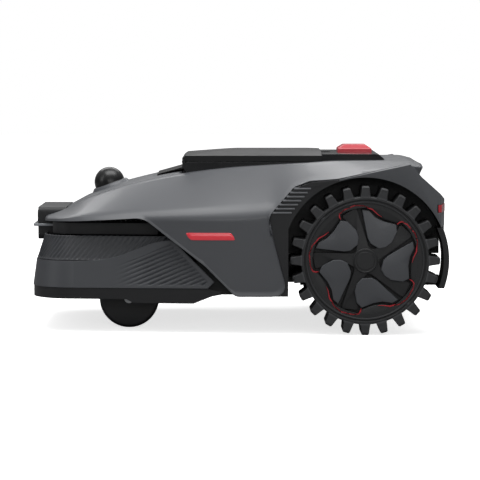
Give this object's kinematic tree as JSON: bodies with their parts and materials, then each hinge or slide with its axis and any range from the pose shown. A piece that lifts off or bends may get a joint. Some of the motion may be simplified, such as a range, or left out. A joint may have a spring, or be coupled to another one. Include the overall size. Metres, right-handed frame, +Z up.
{
  "type": "robotic lawn mower",
  "caption": "Wheeled lawn robot: cleated rear drive wheels, front casters, sliding bumper, lidar dome, hinged control lid, stop button and a height-adjustable blade disc.",
  "frame": {"origin": "on the ground, midway between the tip of the visor and the rear guards, on the centre plane", "axes": "+X from nose to tail, +Z up, the mower's left side towards -Y"},
  "size_m": [0.6248, 0.43, 0.274],
  "materials": {
    "shell_graphite": "satin",
    "bumper_graphite": "satin",
    "trim_black": "matte",
    "gloss_black": "gloss",
    "chassis_black": "matte",
    "red_lens": "gloss",
    "red_button": "satin",
    "accent_red": "satin",
    "tyre_rubber": "matte",
    "wheel_plastic": "satin",
    "caster_plastic": "satin",
    "camera_window": "gloss",
    "lens_glass": "gloss",
    "steel": "brushed",
    "contact_metal": "satin",
    "motor_metal": "satin",
    "battery_case": "matte",
    "board_green": "satin",
    "key_grey": "matte"
  },
  "bodies": {
    "chassis": {"upper_shell": "shell_graphite", "rear_cover": "shell_graphite", "fender_left": "shell_graphite", "fender_right": "shell_graphite", "sensor_band": "trim_black", "vent_panel_left": "trim_black", "vent_panel_right": "trim_black", "rear_guard_left": "trim_black", "rear_guard_right": "trim_black", "rear_hatch": "trim_black", "camera_housing": "trim_black", "control_panel": "trim_black", "top_pod": "gloss_black", "lidar_dome": "gloss_black", "camera_visor": "gloss_black", "chassis_base": "chassis_black", "lidar_base": "chassis_black", "deck_bridge": "chassis_black", "battery_cover": "chassis_black", "side_lights": "red_lens", "tail_lights": "red_lens", "camera_glass": "camera_window", "camera_lenses": "lens_glass", "cover_screws": "steel", "charge_contacts": "contact_metal", "gearmotor_left": "motor_metal", "gearmotor_right": "motor_metal", "battery_pack": "battery_case", "main_board": "board_green"},
    "front_bumper": {"front_bumper": "bumper_graphite", "ribbed_skin": "trim_black", "base_trim": "trim_black"},
    "deck": {"deck_carriage": "chassis_black", "blade_motor": "motor_metal"},
    "blade_disc": {"blade_disc": "steel"},
    "control_lid": {"control_lid": "gloss_black"},
    "stop_button": {"stop_button": "red_button"},
    "lidar_core": {"lidar_core": "chassis_black"},
    "blade_1": {"blade_1": "steel"},
    "blade_2": {"blade_2": "steel"},
    "blade_3": {"blade_3": "steel"},
    "key_power": {"key_power": "key_grey"},
    "key_home": {"key_home": "key_grey"},
    "key_start": {"key_start": "key_grey"},
    "drive_wheel_left": {"tyre_left": "tyre_rubber", "rim_left": "wheel_plastic", "wheel_cover_left": "wheel_plastic", "wheel_accents_left": "accent_red", "hub_cap_left": "wheel_plastic"},
    "caster_left": {"caster_fork_left": "caster_plastic", "caster_axle_left": "steel"},
    "caster_wheel_left": {"caster_wheel_left": "caster_plastic"},
    "drive_wheel_right": {"tyre_right": "tyre_rubber", "rim_right": "wheel_plastic", "wheel_cover_right": "wheel_plastic", "wheel_accents_right": "accent_red", "hub_cap_right": "wheel_plastic"},
    "caster_right": {"caster_fork_right": "caster_plastic", "caster_axle_right": "steel"},
    "caster_wheel_right": {"caster_wheel_right": "caster_plastic"}
  },
  "joints": [
    {"name": "bumper_slide", "type": "slide", "parent": "chassis", "child": "front_bumper", "axis": [1, 0, 0], "range_m": [0, 0.006], "stiffness_N_per_m": 2000, "springref_m": -0.003},
    {"name": "deck_height", "type": "slide", "parent": "chassis", "child": "deck", "axis": [0, 0, 1], "range_m": [-0.02, 0.02]},
    {"name": "blade_disc_spin", "type": "hinge", "parent": "deck", "child": "blade_disc", "pos_m": [-0.034, 0, 0.051], "axis": [0, 0, 1], "continuous": true},
    {"name": "lid_hinge", "type": "hinge", "parent": "chassis", "child": "control_lid", "pos_m": [-0.0815, 0, 0.2503], "axis": [0, -1, 0], "range_deg": [0, 75]},
    {"name": "stop_press", "type": "slide", "parent": "chassis", "child": "stop_button", "axis": [0, 0, -1], "range_m": [0, 0.004], "stiffness_N_per_m": 800, "springref_m": -0.002},
    {"name": "lidar_spin", "type": "hinge", "parent": "chassis", "child": "lidar_core", "pos_m": [-0.1995, 0, 0.215], "axis": [-0.3338, 0, 0.9426], "continuous": true},
    {"name": "key_power_press", "type": "slide", "parent": "chassis", "child": "key_power", "axis": [0, 0, -1], "range_m": [0, 0.001], "stiffness_N_per_m": 400, "springref_m": -0.001},
    {"name": "key_home_press", "type": "slide", "parent": "chassis", "child": "key_home", "axis": [0, 0, -1], "range_m": [0, 0.001], "stiffness_N_per_m": 400, "springref_m": -0.001},
    {"name": "key_start_press", "type": "slide", "parent": "chassis", "child": "key_start", "axis": [0, 0, -1], "range_m": [0, 0.001], "stiffness_N_per_m": 400, "springref_m": -0.001},
    {"name": "blade_1_pivot", "type": "hinge", "parent": "blade_disc", "child": "blade_1", "pos_m": [0.036, 0, 0.0498], "axis": [0, 0, 1], "continuous": true},
    {"name": "blade_2_pivot", "type": "hinge", "parent": "blade_disc", "child": "blade_2", "pos_m": [-0.069, 0.06062, 0.0498], "axis": [0, 0, 1], "continuous": true},
    {"name": "blade_3_pivot", "type": "hinge", "parent": "blade_disc", "child": "blade_3", "pos_m": [-0.069, -0.06062, 0.0498], "axis": [0, 0, 1], "continuous": true},
    {"name": "drive_wheel_left_spin", "type": "hinge", "parent": "chassis", "child": "drive_wheel_left", "pos_m": [0.188, -0.185, 0.11], "axis": [0, 1, 0], "continuous": true},
    {"name": "caster_left_swivel", "type": "hinge", "parent": "chassis", "child": "caster_left", "pos_m": [-0.184, -0.104, 0.1], "axis": [0, 0, 1], "continuous": true},
    {"name": "caster_wheel_left_spin", "type": "hinge", "parent": "caster_left", "child": "caster_wheel_left", "pos_m": [-0.164, -0.104, 0.045], "axis": [0, 1, 0], "continuous": true},
    {"name": "drive_wheel_right_spin", "type": "hinge", "parent": "chassis", "child": "drive_wheel_right", "pos_m": [0.188, 0.185, 0.11], "axis": [0, 1, 0], "continuous": true},
    {"name": "caster_right_swivel", "type": "hinge", "parent": "chassis", "child": "caster_right", "pos_m": [-0.184, 0.104, 0.1], "axis": [0, 0, 1], "continuous": true},
    {"name": "caster_wheel_right_spin", "type": "hinge", "parent": "caster_right", "child": "caster_wheel_right", "pos_m": [-0.164, 0.104, 0.045], "axis": [0, 1, 0], "continuous": true}
  ]
}
